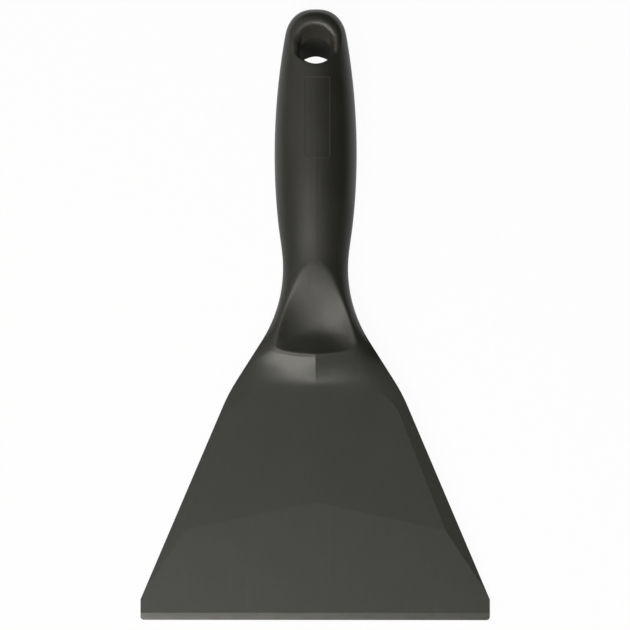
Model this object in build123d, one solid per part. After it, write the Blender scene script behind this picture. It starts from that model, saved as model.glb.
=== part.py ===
from build123d import *
import math
import os

# A hand scraper for pans, lying on its back with the front face up.
# It is drawn in its own frame first: X across the blade, Y from the scraping
# edge (zero) to the end of the grip, Z out of the front, and the middle plane
# of the blade at Z zero. Both faces are alike, apart from the label pad and
# the slant of the hang hole. At the end it is laid on its belly and its edge.

# Main sizes, in millimetres. A place is a distance from the scraping edge.
overall_length = 222.0
blade_width = 127.0

# Outline of the blade, seen from the front
corner_upright = 7.5
corner_round = 1.2
shoulder_corner_place = 82.6
shoulder_corner_width = 63.0
shoulder_round = 65.0

# Thickness of the blade and its facets
blade_thickness = 3.8
taper_thickness = 1.8
edge_thickness = 0.7
edge_bevel_height = 2.6
taper_place = 42.9
roof_fall = 0.34
side_bevel_foot = 9.5
side_bevel_width = 4.2
side_rim_thickness = 2.76

# Where the flat blade stops and the shoulder swells up to the grip
blade_top_place = 76.0
shoulder_foot_place = 84.0
shoulder_foot_ease = 5.0
shoulder_head_place = 123.0
shoulder_head_ease = 17.0
rounding_foot_place = 90.0
rounding_head_place = 118.0

# Neck and grip
neck_place = 127.9
neck_width = 23.7
neck_thickness = 16.0
neck_round = 49.5
neck_side_round = 45.0
bulge_place = 169.0
bulge_width = 29.9
bulge_thickness = 23.2
upper_round = 250.0
upper_side_round = 369.0
end_round_length = 10.2
end_side_length = 8.0
parting_flat = 0.6

# Shape of the grip's cross section: the handle of a curve, as a share of its
# side, is about 0.55 for an ellipse and more for a squarer section.
grip_fullness_share = 0.56
shoulder_fullness_share = 0.72
end_fullness = 2.6
knee_hold = 0.3
end_station_shares = (
    0.0, 0.11, 0.216, 0.3, 0.4, 0.5, 0.6, 0.69, 0.77, 0.84, 0.9, 0.945, 0.975, 0.991, 0.998, 0.9999,
)
shoulder_station_count = 11
flare_station_count = 15
grip_station_count = 11

# Crest across the shoulder, where the thumb rest ends and the blade begins
crest_place = 96.4
crest_round = 62.0
crest_rise = 1.1
crest_fall = 2.8
crest_reach = 20.0
crest_fall_foot_place = 85.0
crest_flank_width = 4.6
knee_soft_place = 88.0

# The grip's moulding runs this far past the crest before it meets the blade
parting_past_crest = 0.9

# Thumb rest, a hollow in each face with a parabola for its outline. Its floor
# runs down from the head to a valley and up again to the crest, and it is
# dished from side to side.
rest_head_place = 130.0
rest_nose_round = 3.9
rest_nose_length = 3.0
rest_valley_place = 103.4
rest_valley_height = 1.5
rest_valley_ease = 1.0
rest_sway_share = 0.35
rest_ridge_ease = 3.0
rest_edge_ease = 0.6
rest_edge_run = 3.0
rest_tip_ease = 0.15
rest_tip_run = 10.0
rest_crest_ease = 0.12
rest_foot_place = 92.6
rest_dense_place = 102.4
rest_end_place = 134.6
rest_dense_count = 17
rest_loose_count = 24
rest_column_count = 73
rest_reach_share = 0.93

# Hang hole, a round tunnel that slants down towards the back
hole_diameter = 12.4
hole_place = 203.3
hole_slant = 31.5

# Rounds of the hole's two mouths: size at the top, at the sides and at the foot
# of each mouth, and how far the wall flares out below the front mouth's top
front_lip_top_round = 3.4
front_lip_side_round = 1.7
front_lip_foot_round = 0.4
front_lip_flare = 1.5
back_lip_top_round = 1.2
back_lip_side_round = 3.4
back_lip_foot_round = 0.8
lip_bite = 0.05
lip_wall_lap = 0.08
lip_inner_gap = 0.8
lip_inner_length = 10.7
lip_clear_turn = 4.0
lip_section_count = 19

# Label pad, a shallow plain recess
pad_width = 9.2
pad_length = 29.3
pad_place = 182.5
pad_shift = 0.5
pad_depth = 0.35
pad_corner = 0.8

# Tang of the blade, which the grip is moulded around
tang_thickness = 2.4
tang_width = 14.0
tang_root_width = 28.0
tang_waist_place = 118.0
tang_end_place = 166.0
tang_corner = 2.0
tang_rib_thickness = 2.4
tang_rib_height = 10.0
tang_rib_foot_place = 125.0
tang_rib_rise = 6.0
tang_hole_diameter = 3.6
tang_hole_spacing = 8.2
tang_hole_first_place = 136.0
tang_hole_last_place = 158.0
tang_hole_rows = 3
tang_root_hole_diameter = 6.0
tang_root_hole_spacing = 12.0
tang_root_hole_place = 106.0

overrun = 10.0

# How steeply a cutter leaves the skin outside the hollow it cuts
clear_share = 0.12


def smooth_step(share):
    """0 below 0, 1 above 1, and a smooth rise between them."""
    share = min(max(share, 0.0), 1.0)
    return share * share * (3.0 - 2.0 * share)


def blend(low, high, share):
    return low + (high - low) * share


def evenly(start, end, count):
    return [blend(start, end, step / (count - 1)) for step in range(count)]


def eased_ramp(distance, ease):
    """Zero, then a straight run of slope one, joined smoothly over the ease."""
    if distance <= 0:
        return 0.0
    share = distance / ease
    if share < 1:
        return ease * (share**3 - share**4 / 2)
    return distance - ease / 2


def arc_drop(radius, reach):
    """How far an arc falls away from its tangent at a given reach."""
    return radius - math.sqrt(radius * radius - reach * reach)


# Outline and side view as tangent arcs and straight runs

half_blade = blade_width / 2
half_neck = neck_width / 2
half_bulge = bulge_width / 2
corner_half = shoulder_corner_width / 2
grip_run = bulge_place - neck_place
end_start = overall_length - end_round_length


def tangent_round(bulge_half, neck_half, neck_arc):
    """Radius of the belly arc that runs smoothly into the neck arc."""
    fall = bulge_half - neck_half
    both = (fall * fall + grip_run * grip_run) / (2 * fall)
    return both - neck_arc


belly_round = tangent_round(half_bulge, half_neck, neck_round)
belly_side_round = tangent_round(bulge_thickness / 2, neck_thickness / 2, neck_side_round)
belly_join = bulge_place - grip_run * belly_round / (belly_round + neck_round)
belly_side_join = bulge_place - grip_run * belly_side_round / (belly_side_round + neck_side_round)

# The flare is the straight run from the shoulder corner to the neck arc.
reach_x = half_neck + neck_round - corner_half
reach_y = neck_place - shoulder_corner_place
flare_angle = math.asin(neck_round / math.hypot(reach_x, reach_y)) - math.atan2(reach_x, reach_y)
flare_head = neck_place - neck_round * math.sin(flare_angle)
side_angle = math.atan2(half_blade - corner_half, shoulder_corner_place - corner_upright)
corner_turn = flare_angle - side_angle
corner_run = shoulder_round * math.tan(corner_turn / 2)
round_head = shoulder_corner_place + corner_run * math.cos(flare_angle)
round_foot = shoulder_corner_place - corner_run * math.cos(side_angle)


def straight_side(place):
    """Half width of the blade on its slanted straight side."""
    return half_blade - (place - corner_upright) * math.tan(side_angle)


def half_width(place):
    """Half width of the outline at a place above the blade's corners."""
    if place >= bulge_place:
        return half_bulge - arc_drop(upper_round, place - bulge_place)
    if place >= belly_join:
        return half_bulge - arc_drop(belly_round, bulge_place - place)
    if place >= flare_head:
        return half_neck + arc_drop(neck_round, neck_place - place)
    if place >= round_head:
        return corner_half - (place - shoulder_corner_place) * math.tan(flare_angle)
    if place >= round_foot:
        past = shoulder_round * math.sin(side_angle) + place - round_foot
        drop = arc_drop(shoulder_round, past) - arc_drop(shoulder_round, past - place + round_foot)
        return straight_side(round_foot) - drop
    return straight_side(place)


shoulder_run = shoulder_head_place - shoulder_head_ease / 2 - shoulder_foot_place - shoulder_foot_ease / 2
shoulder_slope = (neck_thickness - blade_thickness) / 2 / shoulder_run


def crest_share(place):
    """How far the roof has turned into the gable of the crest."""
    return smooth_step((place - crest_fall_foot_place) / (crest_place - crest_fall_foot_place))


def half_thickness(place):
    """Half thickness on the middle line, before the thumb rests are cut."""
    half_belly = bulge_thickness / 2
    if place >= bulge_place:
        return half_belly - arc_drop(upper_side_round, place - bulge_place)
    if place >= belly_side_join:
        return half_belly - arc_drop(belly_side_round, bulge_place - place)
    if place >= neck_place:
        return neck_thickness / 2 + arc_drop(neck_side_round, place - neck_place)
    foot = eased_ramp(place - shoulder_foot_place, shoulder_foot_ease)
    head = eased_ramp(place - shoulder_head_place + shoulder_head_ease, shoulder_head_ease)
    fade = 1 - smooth_step((place - crest_place) / (rounding_head_place - crest_place))
    return blade_thickness / 2 + shoulder_slope * (foot - head) + crest_rise * crest_share(place) * fade


# Cross section of the grip and shoulder, a quarter at a time


def end_share(place, length):
    """How much of the section is left in the rounded end of the grip."""
    share = max(place - overall_length + length, 0.0) / length
    return (1 - share**end_fullness) ** (1 / end_fullness)


def bezier_split(points):
    """A cubic curve cut at its middle into two cubic curves."""
    first, second, third, fourth = [Vector(point) for point in points]
    early = (first + second) * 0.5
    middle = (second + third) * 0.5
    late = (third + fourth) * 0.5
    early_mid = (early + middle) * 0.5
    late_mid = (middle + late) * 0.5
    centre = (early_mid + late_mid) * 0.5
    return [first, early, early_mid, centre], [centre, late_mid, late, fourth]


def straight_curve(start, end):
    """A straight run written as a cubic curve."""
    start, end = Vector(start), Vector(end)
    return [start + (end - start) * (step / 3) for step in range(4)]


roof_slope = roof_fall / half_blade
rim_half = side_rim_thickness / 2


def quarter_curves(place, shrink=0.0):
    """Flank and roof of the front right quarter, and the half height of the rim."""
    width = half_width(place) - shrink
    height = half_thickness(place) - shrink
    width = width * end_share(place, end_round_length)
    height = height * end_share(place, end_side_length)
    swell = smooth_step((place - rounding_foot_place) / (rounding_head_place - rounding_foot_place))
    rim = blend(rim_half, parting_flat / 2 * min(1.0, height / (neck_thickness / 2)), swell)
    full = blend(shoulder_fullness_share, grip_fullness_share, swell)
    round_curve = [
        (width, rim),
        (width, rim + (height - rim) * full),
        (width * full, height),
        (0, height),
    ]
    soft = smooth_step((place - blade_top_place) / (knee_soft_place - blade_top_place))
    slope = blend(roof_slope, crest_fall / crest_reach, crest_share(place))
    flank_width = blend(side_bevel_width, crest_flank_width, soft)
    start = Vector(width, rim)
    knee = Vector(width - flank_width, height - slope * (width - flank_width))
    past_x = width - 2 * flank_width
    past = Vector(past_x, height - slope * past_x)
    round_knee = [start, start * knee_hold + knee * (1 - knee_hold), past * knee_hold + knee * (1 - knee_hold), past]
    flat_flank = [blend(a, b, soft) for a, b in zip(straight_curve(start, knee), round_knee)]
    flat_roof = straight_curve(flat_flank[-1], (0, height))
    round_flank, round_roof = bezier_split(round_curve)
    flank = [blend(a, b, swell) for a, b in zip(flat_flank, round_flank)]
    roof = [blend(a, b, swell) for a, b in zip(flat_roof, round_roof)]
    return flank, roof, rim


def section(place, shrink=0.0):
    """Closed outline of the cross section at a place."""
    flank, roof, rim = quarter_curves(place, shrink)
    width = flank[0].X

    def curve(points, side, face):
        return Edge.make_bezier(*[Vector(side * p.X, place, face * p.Y) for p in points])

    edges = [
        Edge.make_line((width, place, -rim), (width, place, rim)),
        curve(flank, 1, 1),
        curve(roof, 1, 1),
        curve(roof[::-1], -1, 1),
        curve(flank[::-1], -1, 1),
        Edge.make_line((-width, place, rim), (-width, place, -rim)),
        curve(flank, -1, -1),
        curve(roof, -1, -1),
        curve(roof[::-1], 1, -1),
        curve(flank[::-1], 1, -1),
    ]
    return Wire(edges)


def grip_body(shrink=0.0):
    """Grip, neck and shoulder in one smooth skin, down to the flat blade."""
    places = evenly(blade_top_place, crest_place, shoulder_station_count)[:-1]
    places += evenly(crest_place, rest_end_place, flare_station_count)[:-1]
    places += evenly(rest_end_place, end_start, grip_station_count)[:-1]
    places += [end_start + end_round_length * share for share in end_station_shares]
    return Solid.make_loft([section(place, shrink) for place in places])


# The flat blade: a tapered slab with side bevels and a bevelled edge


def slab_facets(side, face):
    """Points on each sloping facet of one quarter of the slab, and its outward side."""
    half = blade_thickness / 2
    top_width = straight_side(blade_top_place)
    foot_width = straight_side(side_bevel_foot)
    taper_slope = (half - taper_thickness / 2) / (taper_place - edge_bevel_height)
    foot_height = taper_thickness / 2 + taper_slope * (side_bevel_foot - edge_bevel_height)
    knee = top_width - side_bevel_width
    roof = [(0, 0, half), (0, taper_place, half), (half_blade, 0, half - roof_fall)]
    taper = [
        (0, edge_bevel_height, taper_thickness / 2),
        (half_blade, edge_bevel_height, taper_thickness / 2),
        (0, taper_place, half),
    ]
    bevel = [
        (foot_width, side_bevel_foot, foot_height),
        (top_width, blade_top_place, rim_half),
        (knee, blade_top_place, half - roof_slope * knee),
    ]
    edge = [
        (0, 0, edge_thickness / 2),
        (half_blade, 0, edge_thickness / 2),
        (0, edge_bevel_height, taper_thickness / 2),
    ]
    return [[Vector(side * x, y, face * z) for x, y, z in facet] for facet in (roof, taper, bevel, edge)]


def facet_plane(points, face):
    """Plane through three points, with its normal out of the given face."""
    normal = (points[1] - points[0]).cross(points[2] - points[0]).normalized()
    if normal.Z * face < 0:
        normal = normal * -1
    return Plane(origin=points[0], z_dir=normal)


def blade_slab():
    """The wedge of the blade from the scraping edge up to the shoulder."""
    top_width = straight_side(blade_top_place)
    outline = Polyline(
        (-half_blade, 0),
        (half_blade, 0),
        (half_blade, corner_upright),
        (top_width, blade_top_place),
        (-top_width, blade_top_place),
        (-half_blade, corner_upright),
        close=True,
    )
    slab = extrude(make_face(outline), amount=blade_thickness, both=True)
    corners = slab.edges().filter_by(Axis.Z).group_by(Axis.Y)[0]
    slab = fillet(corners, corner_round)
    for face in (1, -1):
        for side in (1, -1):
            for points in slab_facets(side, face):
                slab = split(slab, bisect_by=facet_plane(points, face), keep=Keep.BOTTOM)
    return slab


# Cutters with a free floor, lofted from sections across the grip


def curve_point(curve, share):
    """Point of a cubic curve."""
    rest = 1 - share
    first, second, third, fourth = curve
    return (
        first * rest**3
        + second * (3 * rest * rest * share)
        + third * (3 * rest * share * share)
        + fourth * share**3
    )


def skin_height(across, place):
    """Height of the front skin above the middle plane, before the hollows are cut."""
    flank, roof, rim = quarter_curves(place)
    reach = abs(across)
    curve = flank if reach > roof[0].X else roof
    low, high = 0.0, 1.0
    while high - low > 1e-6:
        middle = (low + high) / 2
        if curve_point(curve, middle).X > reach:
            low = middle
        else:
            high = middle
    return curve_point(curve, low).Y


def floor_cutter(places, columns, reach_share, floor, bend):
    """Everything above a floor, as a loft through one section at each place."""
    sections = []
    marks = [column / (columns - 1) for column in range(columns)]
    for place in places:
        flank, roof, rim = quarter_curves(place)
        reach = flank[0].X * reach_share
        curve = bend(place)
        points = [Vector(blend(-reach, reach, mark), place, 0) for mark in marks]
        points = [Vector(point.X, place, floor(point.X, place, curve)) for point in points]
        right = Vector(reach, place, bulge_thickness)
        left = Vector(-reach, place, bulge_thickness)
        edges = [
            Edge.make_spline(points, parameters=marks),
            Edge.make_line(points[-1], right),
            Edge.make_line(right, left),
            Edge.make_line(left, points[0]),
        ]
        sections.append(Wire(edges))
    return Solid.make_loft(sections)


def soft_low(first, second, ease):
    """The lower of two heights, rounded where they are closer than the ease."""
    near = max(ease - abs(first - second), 0.0) / ease
    return min(first, second) - near * near * ease / 4


# Thumb rest


def crest_line(across):
    """Place of the crest, which bends up towards the grip at the sides."""
    return crest_place + arc_drop(crest_round, min(abs(across), crest_reach))


def rest_middle(place):
    """Height of the sloping floor on the middle line, steepest halfway down."""
    rise = half_thickness(rest_head_place) - rest_valley_height
    along = max(place - rest_valley_place, 0.0) / (rest_head_place - rest_valley_place)
    return rest_valley_height + rise * blend(along, smooth_step(along), rest_sway_share)


def rest_dish(place):
    """How strongly the floor is dished, so that it meets the skin on the outline."""
    place = min(place, rest_head_place - rest_nose_length)
    squared = 2 * rest_nose_round * (rest_head_place - place)
    return (skin_height(math.sqrt(squared), place) - rest_middle(place)) / squared


def rest_floor(across, place, dish):
    """A dished slope down from the head that turns up into the wall of the crest."""
    bowl = rest_middle(place) + dish * across * across
    crest_height = half_thickness(crest_place)
    ridge = math.hypot(across, rest_ridge_ease) - rest_ridge_ease
    rise = (crest_height - rest_valley_height) / (rest_valley_place - crest_place)
    wall = crest_height - crest_fall / crest_reach * ridge - rise * (place - crest_line(across))
    return (bowl + wall) / 2 + math.hypot((bowl - wall) / 2, rest_valley_ease)


def rest_cut(across, place, dish):
    """The rest's floor inside its rim, rounded over into the skin, and clear of it outside."""
    skin = skin_height(across, place)
    gap = rest_floor(across, place, dish) - skin
    from_crest = smooth_step((place - crest_line(across)) / rest_edge_run)
    from_head = smooth_step((rest_head_place - place) / rest_tip_run)
    ease = blend(rest_crest_ease, blend(rest_tip_ease, rest_edge_ease, from_head), from_crest)
    return skin + soft_low(gap, clear_share * gap, ease) - clear_share * ease


def thumb_rest():
    places = evenly(rest_foot_place, rest_dense_place, rest_dense_count)[:-1]
    places += evenly(rest_dense_place, rest_end_place, rest_loose_count)
    return floor_cutter(places, rest_column_count, rest_reach_share, rest_cut, rest_dish)


# Tang: a holed plate with a rib along each face, inside the grip


def tang():
    half = tang_width / 2
    root_half = tang_root_width / 2
    root = (shoulder_foot_place + crest_place) / 2
    outline = Polyline(
        (-root_half, root),
        (root_half, root),
        (root_half, crest_place),
        (half, tang_waist_place),
        (half, tang_end_place),
        (-half, tang_end_place),
        (-half, tang_waist_place),
        (-root_half, crest_place),
        close=True,
    )
    plate = extrude(make_face(outline), amount=tang_thickness / 2, both=True)
    plate = fillet(plate.edges().filter_by(Axis.Z).group_by(Axis.Y)[-1], tang_corner)
    rib_half = tang_rib_height / 2
    rib_head = tang_rib_foot_place + tang_rib_rise
    rib_end = tang_end_place - tang_corner
    rib_outline = Polyline(
        (0, tang_rib_foot_place, 0),
        (0, rib_head, rib_half),
        (0, rib_end, rib_half),
        (0, rib_end, -rib_half),
        (0, rib_head, -rib_half),
        close=True,
    )
    rib = extrude(make_face(rib_outline), amount=tang_rib_thickness / 2, both=True)
    rows = tang_hole_rows - 1
    places = [blend(tang_hole_first_place, tang_hole_last_place, row / rows) for row in range(tang_hole_rows)]
    holes = [(place, tang_hole_spacing / 2, tang_hole_diameter) for place in places]
    holes.append((tang_root_hole_place, tang_root_hole_spacing / 2, tang_root_hole_diameter))
    body = plate + rib
    for place, offset, diameter in holes:
        for side in (1, -1):
            body -= Pos(side * offset, place, 0) * Cylinder(diameter / 2, tang_thickness + overrun)
    return body


# Hang hole and the soft rounds of its two mouths


def hole_plane(face=1):
    """Plane across the hole at the middle of the grip, looking out of one face."""
    slant = math.radians(hole_slant)
    out = Vector(0, math.sin(slant), math.cos(slant)) * face
    return Plane(origin=(0, hole_place, 0), x_dir=(1, 0, 0), z_dir=out)


def hang_hole():
    bore = Cylinder(hole_diameter / 2, overall_length - bulge_place)
    return hole_plane().location * bore


def skin_along(face, turn, reach):
    """How far along the hole's axis a line beside it leaves the skin of one face."""
    plane = hole_plane(face)
    low, high = 0.0, overall_length - hole_place
    while high - low > 1e-6 * overall_length:
        middle = (low + high) / 2
        point = plane.from_local_coords(Vector(reach * math.sin(turn), reach * math.cos(turn), middle))
        if point.Y < overall_length and point.Z * face < skin_height(point.X, point.Y):
            low = middle
        else:
            high = middle
    return low


def lip_round(face, turn):
    """Radius of the mouth's round at a turn from its top."""
    lean = math.cos(turn)
    if face > 0:
        side_round = front_lip_side_round
        end_round = front_lip_top_round if lean > 0 else front_lip_foot_round
    else:
        side_round = back_lip_side_round
        end_round = back_lip_top_round if lean > 0 else back_lip_foot_round
    return blend(side_round, end_round, smooth_step(abs(lean)))


def lip_section(face, turn):
    """Cut of the mouth's round at a turn: from the hole's wall out to the skin."""
    size = lip_round(face, turn)
    flare = front_lip_flare * smooth_step(math.cos(turn)) if face > 0 else 0.0
    inner = hole_diameter / 2 - lip_inner_gap
    start_turn = math.atan2(flare + lip_inner_gap, lip_inner_length)
    base = hole_diameter / 2 + flare - lip_wall_lap
    near = skin_along(face, turn, base + size / 2)
    far = skin_along(face, turn, base + size * 3 / 2)
    end_turn = math.pi / 2 + math.atan2(near - far, size)
    reach = base + size * (math.cos(start_turn) - math.cos(end_turn))
    rise = size * (math.sin(end_turn) - math.sin(start_turn))
    foot = skin_along(face, turn, reach) - rise - lip_bite
    plane = hole_plane(face)

    def spot(reach, along):
        return plane.from_local_coords(Vector(reach * math.sin(turn), reach * math.cos(turn), along))

    def on_round(angle):
        out = size * (math.cos(start_turn) - math.cos(angle))
        return spot(base + out, foot + size * (math.sin(angle) - math.sin(start_turn)))

    clear_turn = end_turn - math.radians(lip_clear_turn)
    run = front_lip_top_round
    outer = reach + run * math.sin(clear_turn)
    outer_height = foot + rise + run * math.cos(clear_turn)
    lid = overall_length - hole_place + overrun
    corners = [
        on_round(end_turn),
        spot(outer, outer_height),
        spot(outer, lid),
        spot(inner, lid),
        spot(inner, foot - lip_inner_length),
        on_round(start_turn),
    ]
    middle_turn = (start_turn + end_turn) / 2
    arc = Edge.make_three_point_arc(on_round(start_turn), on_round(middle_turn), on_round(end_turn))
    return Wire([arc] + [Edge.make_line(first, second) for first, second in zip(corners, corners[1:])])


def hole_lip(face):
    """The round's cutter, half a ring on each side of the middle plane."""
    half_ring = Solid.make_loft([lip_section(face, turn) for turn in evenly(0.0, math.pi, lip_section_count)])
    return half_ring + mirror(half_ring, about=Plane.YZ)


def label_pad():
    """The thin layer of the front face that the pad recess takes away."""
    outline = RectangleRounded(pad_width, pad_length, pad_corner)
    prism = extrude(Pos(pad_shift, pad_place, 0) * outline, amount=bulge_thickness)
    return prism - grip_body(pad_depth)


# The two pieces, parted by an upright curved face just below the crest


def parting():
    """A drum whose edge follows the crest, with the whole grip inside it."""
    centre = crest_place - parting_past_crest + crest_round
    drum = Pos(0, centre, 0) * Cylinder(crest_round, bulge_thickness + overrun)
    grip_box = Box(2 * crest_round, overall_length, bulge_thickness + overrun)
    grip_box = Pos(0, centre + overall_length / 2, 0) * grip_box
    return drum + grip_box


def lay_down():
    """Turn the tool onto its belly and scraping edge, origin below its middle."""
    edge_y = edge_bevel_height
    edge_z = -taper_thickness / 2
    belly_y = bulge_place - edge_y
    belly_z = belly_side_round - bulge_thickness / 2 - edge_z
    tilt = math.asin(belly_side_round / math.hypot(belly_y, belly_z)) - math.atan2(belly_z, belly_y)
    lift = -(edge_y * math.sin(tilt) + edge_z * math.cos(tilt))
    shift = -overall_length * math.cos(tilt) / 2
    return Pos(0, shift, lift) * Rot(math.degrees(tilt), 0, 0)


def main():
    rest = thumb_rest()
    body = grip_body() + blade_slab() - rest - mirror(rest, about=Plane.XY)
    split_face = parting()
    core = tang()
    handle = body & split_face
    handle = handle - hang_hole() - hole_lip(1) - hole_lip(-1) - label_pad() - core
    blade = body - split_face + core
    rest_pose = lay_down()
    os.makedirs("parts", exist_ok=True)
    for name, piece in (("handle", handle), ("blade", blade)):
        export_step(rest_pose * piece, f"parts/{name}.step")
        print(name, len(piece.solids()), piece.is_valid, round(piece.volume))
    return handle, blade


main()
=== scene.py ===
import math

import bmesh
import bpy
from mathutils import Matrix, Vector


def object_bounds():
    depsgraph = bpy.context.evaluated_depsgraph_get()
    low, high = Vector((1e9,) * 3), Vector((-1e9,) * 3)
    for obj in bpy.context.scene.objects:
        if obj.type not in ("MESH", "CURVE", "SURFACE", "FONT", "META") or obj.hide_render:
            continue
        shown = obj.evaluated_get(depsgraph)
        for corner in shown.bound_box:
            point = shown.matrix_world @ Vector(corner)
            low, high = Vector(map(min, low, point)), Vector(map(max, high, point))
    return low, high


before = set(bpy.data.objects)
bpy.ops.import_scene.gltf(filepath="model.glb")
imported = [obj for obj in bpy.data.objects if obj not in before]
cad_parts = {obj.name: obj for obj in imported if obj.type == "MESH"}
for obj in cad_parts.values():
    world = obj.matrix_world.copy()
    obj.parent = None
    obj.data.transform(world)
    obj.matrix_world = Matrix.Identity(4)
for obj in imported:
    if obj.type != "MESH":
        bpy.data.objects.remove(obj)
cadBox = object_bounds()
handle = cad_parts["handle"]
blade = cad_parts["blade"]


# A shader value. Sums and products of values add their own Math nodes.
class Value:
    def __init__(self, graph, socket):
        self.graph = graph
        self.socket = socket

    def math(self, operation, first, second):
        return self.graph.add("ShaderNodeMath", {"operation": operation}, {0: first, 1: second})

    def __add__(self, other):
        return self.math("ADD", self, other)

    def __sub__(self, other):
        return self.math("SUBTRACT", self, other)

    def __rsub__(self, other):
        return self.math("SUBTRACT", other, self)

    def __mul__(self, other):
        return self.math("MULTIPLY", self, other)

    __radd__ = __add__
    __rmul__ = __mul__

    def absolute(self):
        return self.math("ABSOLUTE", self, 0.0)

    def most(self, other):
        return self.math("MAXIMUM", self, other)

    def least(self, other):
        return self.math("MINIMUM", self, other)

    # length of the slanted side over two square ones
    def slanted(self, other):
        return self.math("SQRT", self * self + other * other, 0.0)


class Graph:
    def __init__(self, name):
        self.material = bpy.data.materials.new(name)
        self.material.use_nodes = True
        self.tree = self.material.node_tree
        self.tree.nodes.clear()

    # one node: its type, its settings first, then values or links for its sockets
    def add(self, kind, settings=None, inputs=None, output=0):
        made = self.tree.nodes.new(kind)
        for name, value in (settings or {}).items():
            setattr(made, name, value)
        for name, value in (inputs or {}).items():
            if isinstance(value, Value):
                self.tree.links.new(value.socket, made.inputs[name])
            else:
                made.inputs[name].default_value = value
        return Value(self, made.outputs[output]) if made.outputs else None

    def finish(self, surface):
        self.add("ShaderNodeOutputMaterial", inputs={"Surface": surface})
        return self.material


# The tool lies on the grip's belly, so its own frame is tilted: across, along from the
# scraping edge, and out of the front face. All lengths are in metres.
toolTilt = math.radians(3.83)
edgeMiddle = 0.00072                  # middle plane of the blade above the floor, at its edge
toolEdge = Vector((0, cadBox[0].y, cadBox[0].z + edgeMiddle))


# Object coordinates turned into the tool frame, as a vector and as three values
def toolCoordinates(graph):
    place = graph.add("ShaderNodeTexCoord", output="Object")
    turned = graph.add("ShaderNodeVectorRotate", {"rotation_type": "X_AXIS"}, {
        "Vector": place, "Center": toolEdge, "Angle": -toolTilt,
    })
    moved = graph.add("ShaderNodeVectorMath", {"operation": "SUBTRACT"}, {0: turned, 1: toolEdge})
    parts = graph.add("ShaderNodeSeparateXYZ", inputs={0: moved}).socket.node
    return moved, [Value(graph, parts.outputs[axis]) for axis in "XYZ"]


def noise(graph, place, size, detail=2.0, roughness=0.5):
    return graph.add("ShaderNodeTexNoise", inputs={
        "Vector": place, "Scale": 1 / size, "Detail": detail, "Roughness": roughness,
    })


# 0 below the low value, 1 above the high one
def ramp(graph, value, low, high):
    return graph.add("ShaderNodeMapRange", {"interpolation_type": "SMOOTHSTEP", "clamp": True}, {
        "Value": value, "From Min": low, "From Max": high, "To Min": 0.0, "To Max": 1.0,
    })


# 1 nearer than the first distance, 0 past the second one
def near(graph, distance, reach):
    return 1.0 - ramp(graph, distance, *reach)


def mixColour(graph, share, first, second):
    return graph.add("ShaderNodeMix", {"data_type": "RGBA"}, {0: share, 6: first, 7: second}, output=2)


def stretched(graph, place, turn, scale):
    return graph.add("ShaderNodeMapping", inputs={
        "Vector": place, "Rotation": (0, 0, turn), "Scale": scale,
    })


# Fine scratches: noise drawn out in a few directions, of which only the thin peaks stay
def scratches(graph, place, turns, size, stops, drawnOut):
    total = None
    for turn in turns:
        lines = noise(graph, stretched(graph, place, turn, (1.0, drawnOut, 1.0)), size, detail=1.0)
        lines = ramp(graph, lines, *stops)
        total = lines if total is None else total.most(lines)
    return total


# Scratches that show in patches only
def patchyScratches(graph, place, look):
    lines = scratches(graph, place, **look["lines"])
    return lines * ramp(graph, noise(graph, place, **look["patches"]), *look["patchStops"])


# Large clouds and fine specks of the worn tint over the plain one
def mottledColour(graph, place, look):
    cloud = noise(graph, place, **look["cloud"])
    specks = noise(graph, place, **look["specks"])
    blend = cloud * look["cloudShare"] + specks * (1.0 - look["cloudShare"])
    tint = ramp(graph, blend, *look["tintStops"])
    return mixColour(graph, tint * look["wornShare"], look["colour"], look["worn"])


# Sheen in patches, spread evenly about the plain roughness
def patchyRoughness(graph, place, look):
    middle = 0.5
    patches = noise(graph, place, **look["sheen"])
    return look["roughness"] + (patches - middle) * look["sheenSpread"]


# Moulded texture: fine grain on slow waves
def mouldedHeight(graph, place, look):
    grain = noise(graph, place, **look["grain"])
    wave = noise(graph, place, **look["wave"])
    return grain * look["grainDepth"] + wave * look["waveDepth"]


def finishPlastic(graph, look, colour, roughness, height):
    bump = graph.add("ShaderNodeBump", inputs={"Strength": 1.0, "Distance": 1.0, "Height": height})
    shader = graph.add("ShaderNodeBsdfPrincipled", inputs={
        "Base Color": colour,
        "Roughness": roughness,
        "Specular IOR Level": look["specular"],
        "Normal": bump,
    })
    return graph.finish(shader)


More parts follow.
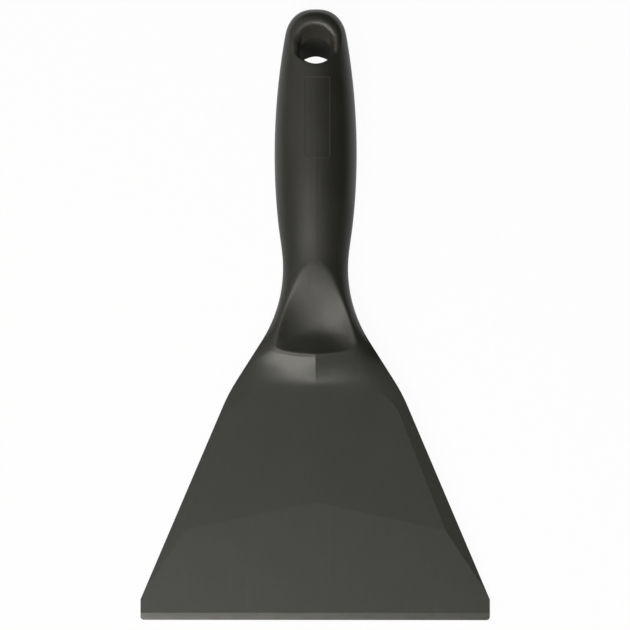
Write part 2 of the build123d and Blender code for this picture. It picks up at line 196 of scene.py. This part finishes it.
gripLook = {
    "colour": (0.0225, 0.0225, 0.0185, 1),
    "worn": (0.034, 0.033, 0.028, 1),
    # pale tint: real scuffs, and painted highlights on the hole's upper mouths and the pad's border
    "paleTint": (0.06, 0.057, 0.05, 1),
    "cloud": {"size": 0.018, "detail": 4.0, "roughness": 0.6},
    "specks": {"size": 0.0021, "detail": 3.0},
    "cloudShare": 0.7,
    "tintStops": (0.35, 0.68),
    "wornShare": 0.35,
    "specular": 0.5,
    "roughness": 0.42,
    "sheen": {"size": 0.009, "detail": 3.0, "roughness": 0.55},
    "sheenSpread": 0.1,
    "grain": {"size": 0.00042, "detail": 2.0, "roughness": 0.6},
    "grainDepth": 0.00002,
    "wave": {"size": 0.014, "detail": 1.0},
    "waveDepth": 0.00006,
    "touch": {                        # where along the tool a hand polishes it or leaves it dull
        "bellyPlace": 0.168,
        "bellyReach": (0.012, 0.052),
        "pastBellyDulling": 0.03,
        "neckPlace": 0.14,
        "neckReach": (0.006, 0.02),
        "neckDulling": 0.07,
        "thumbPlace": 0.112,
        "thumbReach": (0.006, 0.017),
        "thumbPolish": 0.06,
    },
    "pad": {
        "place": (0.0005, 0.1825),    # middle of the label pad, across and along
        "half": (0.0046, 0.01465),
        "round": 0.0008,
        "line": (0.000078, 0.00026),  # the border fades out between these distances from its middle
        "lineHighlightShare": 1.0,
        "frontHeight": (0.006, 0.008),
    },
    "hole": {
        "place": 0.2033,              # where its axis crosses the middle plane
        "slant": math.radians(31.5),
        "boreEdge": (0.0063, 0.0069),
        "boreDulling": 0.4,
        "rubAndHighlightReach": (0.0072, 0.0102),
        "rubAndHighlightSide": (-0.004, 0.003),   # the rub and its painted highlight fade in over these heights, seen along the axis
        # share of the paler tint painted on the upper mouths as a highlight
        "mouthHighlightShare": 0.8,
        "rubPolish": 0.16,
    },
    "seam": (0.000064, 0.00016),
    "seamDepth": 0.00004,
    "scuffs": {
        "lines": {"turns": (0.4, 1.9, 2.7), "size": 0.0016, "stops": (0.69, 0.75), "drawnOut": 0.03},
        "patches": {"size": 0.02, "detail": 2.0},
        "patchStops": (0.45, 0.62),
        "gain": 0.35,
        "paleShare": 0.4,
        "dulling": 0.12,
        "depth": 0.00002,
    },
}


# Roughness added or taken along the grip
def touchOfHand(graph, along, touch):
    pastBelly = ramp(graph, (along - touch["bellyPlace"]).absolute(), *touch["bellyReach"])
    neck = near(graph, (along - touch["neckPlace"]).absolute(), touch["neckReach"])
    thumb = near(graph, (along - touch["thumbPlace"]).absolute(), touch["thumbReach"])
    dulled = pastBelly * touch["pastBellyDulling"] + neck * touch["neckDulling"]
    return dulled - thumb * touch["thumbPolish"]


# The pad's border, a line round a rectangle with round corners, where a paler tint is painted as a
# highlight on the edge of its recess
def padBorder(graph, across, along, out, pad):
    placeAcross, placeAlong = pad["place"]
    halfAcross, halfAlong = pad["half"]
    pastAcross = (across - placeAcross).absolute() - (halfAcross - pad["round"])
    pastAlong = (along - placeAlong).absolute() - (halfAlong - pad["round"])
    corner = pastAcross.most(0.0).slanted(pastAlong.most(0.0))
    gap = corner + pastAcross.most(pastAlong).least(0.0) - pad["round"]
    return near(graph, gap.absolute(), pad["line"]) * ramp(graph, out, *pad["frontHeight"])


# The peg that it hangs on rubs the upper side of the mouths smoother, and a paler tint is painted there
# as a highlight on their rounded lips. The bore between them stays rough.
def holeMasks(graph, across, along, out, hole):
    upward = (along - hole["place"]) * math.cos(hole["slant"]) - out * math.sin(hole["slant"])
    fromAxis = across.slanted(upward)
    bore = near(graph, fromAxis, hole["boreEdge"])
    rubAndHighlight = near(graph, fromAxis, hole["rubAndHighlightReach"]) * ramp(graph, upward, *hole["rubAndHighlightSide"])
    return bore, rubAndHighlight * (1.0 - bore)


def gripPlastic(look):
    graph = Graph("gripPlastic")
    place, (across, along, out) = toolCoordinates(graph)
    colour = mottledColour(graph, place, look)
    roughness = patchyRoughness(graph, place, look) + touchOfHand(graph, along, look["touch"])

    borderHighlight = padBorder(graph, across, along, out, look["pad"])
    # a paler line painted round the pad: a painted highlight on the recess edge
    colour = mixColour(graph, borderHighlight * look["pad"]["lineHighlightShare"], colour, look["paleTint"])

    hole = look["hole"]
    bore, rubAndHighlight = holeMasks(graph, across, along, out, hole)
    # a paler tint painted on the upper mouths: a painted highlight on their lips
    colour = mixColour(graph, rubAndHighlight * hole["mouthHighlightShare"], colour, look["paleTint"])
    roughness = roughness - rubAndHighlight * hole["rubPolish"] + bore * hole["boreDulling"]

    scuffs = look["scuffs"]
    marks = patchyScratches(graph, place, scuffs) * scuffs["gain"]
    colour = mixColour(graph, marks * scuffs["paleShare"], colour, look["paleTint"])
    roughness = roughness + marks * scuffs["dulling"]

    # the seam of the two mould halves runs round the sides, and as a fine step inside the hole
    seam = near(graph, out.absolute(), look["seam"])
    height = mouldedHeight(graph, place, look) - marks * scuffs["depth"] - seam * look["seamDepth"]
    return finishPlastic(graph, look, colour, roughness, height)


bladeLook = {
    "colour": (0.0225, 0.0235, 0.0195, 1),
    "worn": (0.036, 0.036, 0.031, 1),
    "paleTint": (0.06, 0.057, 0.05, 1),
    "cloud": {"size": 0.03, "detail": 4.0, "roughness": 0.6},
    "specks": {"size": 0.0018, "detail": 3.0},
    "cloudShare": 0.7,
    "tintStops": (0.35, 0.68),
    "wornShare": 0.3,
    "specular": 0.5,
    "roughness": 0.345,
    "sheen": {"size": 0.012, "detail": 3.0, "roughness": 0.55},
    "sheenSpread": 0.09,
    "grain": {"size": 0.00034, "detail": 2.0, "roughness": 0.6},
    "grainDepth": 0.000016,
    "wave": {"size": 0.03, "detail": 1.0},
    "waveDepth": 0.00005,
    "edge": {
        "reach": (0.00068, 0.0034),
        "wear": {"size": 0.0022},
        "wearDrawnOut": 0.25,
        "wearStops": (0.3, 0.6),
        "paleShare": 0.375,
        "polish": 0.05,
    },
    "strokes": {
        "lines": {"turns": (0.05, 0.32, 2.95), "size": 0.0014, "stops": (0.70, 0.76), "drawnOut": 0.03},
        "patches": {"size": 0.025, "detail": 2.0},
        "patchStops": (0.4, 0.62),
        "gain": 0.45,
        "reach": (0.012, 0.07),
        "farShare": 0.35,
        "paleShare": 0.35,
        "dulling": 0.1,
        "depth": 0.00002,
    },
}


# The scraping edge is rubbed paler and smoother, unevenly along its width
def edgeRub(graph, place, along, edge):
    drawn = stretched(graph, place, 0.0, (edge["wearDrawnOut"], 1.0, 1.0))
    wear = ramp(graph, noise(graph, drawn, **edge["wear"]), *edge["wearStops"])
    return near(graph, along, edge["reach"]) * wear


# Straight scratches along the strokes and a few slanted ones, fewer far from the edge
def strokeMarks(graph, place, along, strokes):
    nearEdge = near(graph, along, strokes["reach"])
    fade = strokes["farShare"] + nearEdge * (1.0 - strokes["farShare"])
    return patchyScratches(graph, place, strokes) * fade * strokes["gain"]


def bladePlastic(look):
    graph = Graph("bladePlastic")
    place, (_, along, _) = toolCoordinates(graph)
    colour = mottledColour(graph, place, look)

    edge = look["edge"]
    paleTint = edgeRub(graph, place, along, edge)
    colour = mixColour(graph, paleTint * edge["paleShare"], colour, look["paleTint"])

    strokes = look["strokes"]
    marks = strokeMarks(graph, place, along, strokes)
    colour = mixColour(graph, marks * strokes["paleShare"], colour, look["paleTint"])

    roughness = patchyRoughness(graph, place, look)
    roughness = roughness + marks * strokes["dulling"] - paleTint * edge["polish"]
    height = mouldedHeight(graph, place, look) - marks * strokes["depth"]
    return finishPlastic(graph, look, colour, roughness, height)


handle.material_slots[0].material = gripPlastic(gripLook)
blade.material_slots[0].material = bladePlastic(bladeLook)
print("materials ready")


stage = {
    "lens": 400.0,
    "viewWidth": 0.22906,
    "tilt": toolTilt,                 # the picture is square to the tool
    "roll": math.radians(0.06),
    "lookAlong": 0.1109,              # from the scraping edge to the middle of the picture
    "lookAcross": -0.00018,
    "edgeLift": 0.0009,               # height of the aim above the floor, at the scraping edge
    "floorSize": 3.0,
    "floorDrop": 0.00005,
    "floorColour": (0.12, 0.12, 0.12, 1),
    "white": (1, 1, 1, 1),
    "floorShadow": 0.04,
    "worldStrength": 0.045,
    "lampColour": (1.0, 0.985, 0.92),
    "lamps": {
        "keySoftbox": {"energy": 6.3, "size": 0.5, "place": (-0.3, -0.62, 0.93)},
        "keySpill": {"energy": 2.3, "size": 1.1, "place": (-0.2, -0.62, 0.93)},
        "leftSoftbox": {"energy": 5.4, "size": 1.5, "place": (-0.95, 0.45, 0.95)},
        "topSoftbox": {"energy": 3.78, "size": 1.6, "place": (-0.1, -0.1, 3.0)},
    },
}


# White in the picture and in reflections, grey paper for the light that it throws back
def floorPaper():
    graph = Graph("floorPaper")
    grey = graph.add("ShaderNodeBsdfDiffuse", inputs={"Color": stage["floorColour"]})
    paper = graph.add("ShaderNodeBsdfDiffuse", inputs={"Color": stage["white"]})
    glow = graph.add("ShaderNodeEmission", inputs={"Color": stage["white"], "Strength": 1.0})
    seen = graph.add("ShaderNodeMixShader", inputs={0: stage["floorShadow"], 1: glow, 2: paper})
    camera, glossy, through = [
        graph.add("ShaderNodeLightPath", output=ray)
        for ray in ("Is Camera Ray", "Is Glossy Ray", "Is Transmission Ray")
    ]
    direct = camera.most(glossy).most(through)
    return graph.finish(graph.add("ShaderNodeMixShader", inputs={0: direct, 1: grey, 2: seen}))


def makeFloor():
    shape = bmesh.new()
    bmesh.ops.create_grid(shape, x_segments=1, y_segments=1, size=stage["floorSize"])
    mesh = bpy.data.meshes.new("floor")
    shape.to_mesh(mesh)
    shape.free()
    mesh.transform(Matrix.Translation((0, 0, -stage["floorDrop"])))
    mesh.materials.append(floorPaper())
    floor = bpy.data.objects.new("floor", mesh)
    bpy.context.scene.collection.objects.link(floor)


def makeLamp(name, look):
    lamp = bpy.data.lights.new(name, "AREA")
    lamp.energy = look["energy"]
    lamp.size = look["size"]
    lamp.color = stage["lampColour"]
    body = bpy.data.objects.new(name, lamp)
    bpy.context.scene.collection.objects.link(body)
    body.location = look["place"]
    body.rotation_euler = Vector(look["place"]).to_track_quat("Z", "Y").to_euler()


def makeWorld():
    world = bpy.data.worlds.new("studio")
    bpy.context.scene.world = world
    world.use_nodes = True
    back = world.node_tree.nodes["Background"]
    back.inputs["Color"].default_value = stage["white"]
    back.inputs["Strength"].default_value = stage["worldStrength"]


def makeCamera():
    data = bpy.data.cameras.new("camera")
    data.lens = stage["lens"]
    camera = bpy.data.objects.new("camera", data)
    bpy.context.scene.collection.objects.link(camera)
    distance = stage["viewWidth"] * data.lens / data.sensor_width
    data.clip_end = 2 * distance
    tilt = Matrix.Rotation(stage["tilt"], 4, "X")
    edge = Vector((0, cadBox[0].y, cadBox[0].z + stage["edgeLift"]))
    target = edge + tilt @ Vector((stage["lookAcross"], stage["lookAlong"], 0))
    turn = tilt @ Matrix.Rotation(stage["roll"], 4, "Z")
    camera.matrix_world = Matrix.Translation(target + tilt @ Vector((0, 0, distance))) @ turn
    bpy.context.scene.camera = camera


makeFloor()
for name, look in stage["lamps"].items():
    makeLamp(name, look)
makeWorld()
makeCamera()
bpy.context.scene.view_settings.view_transform = "Standard"
print("stage ready")
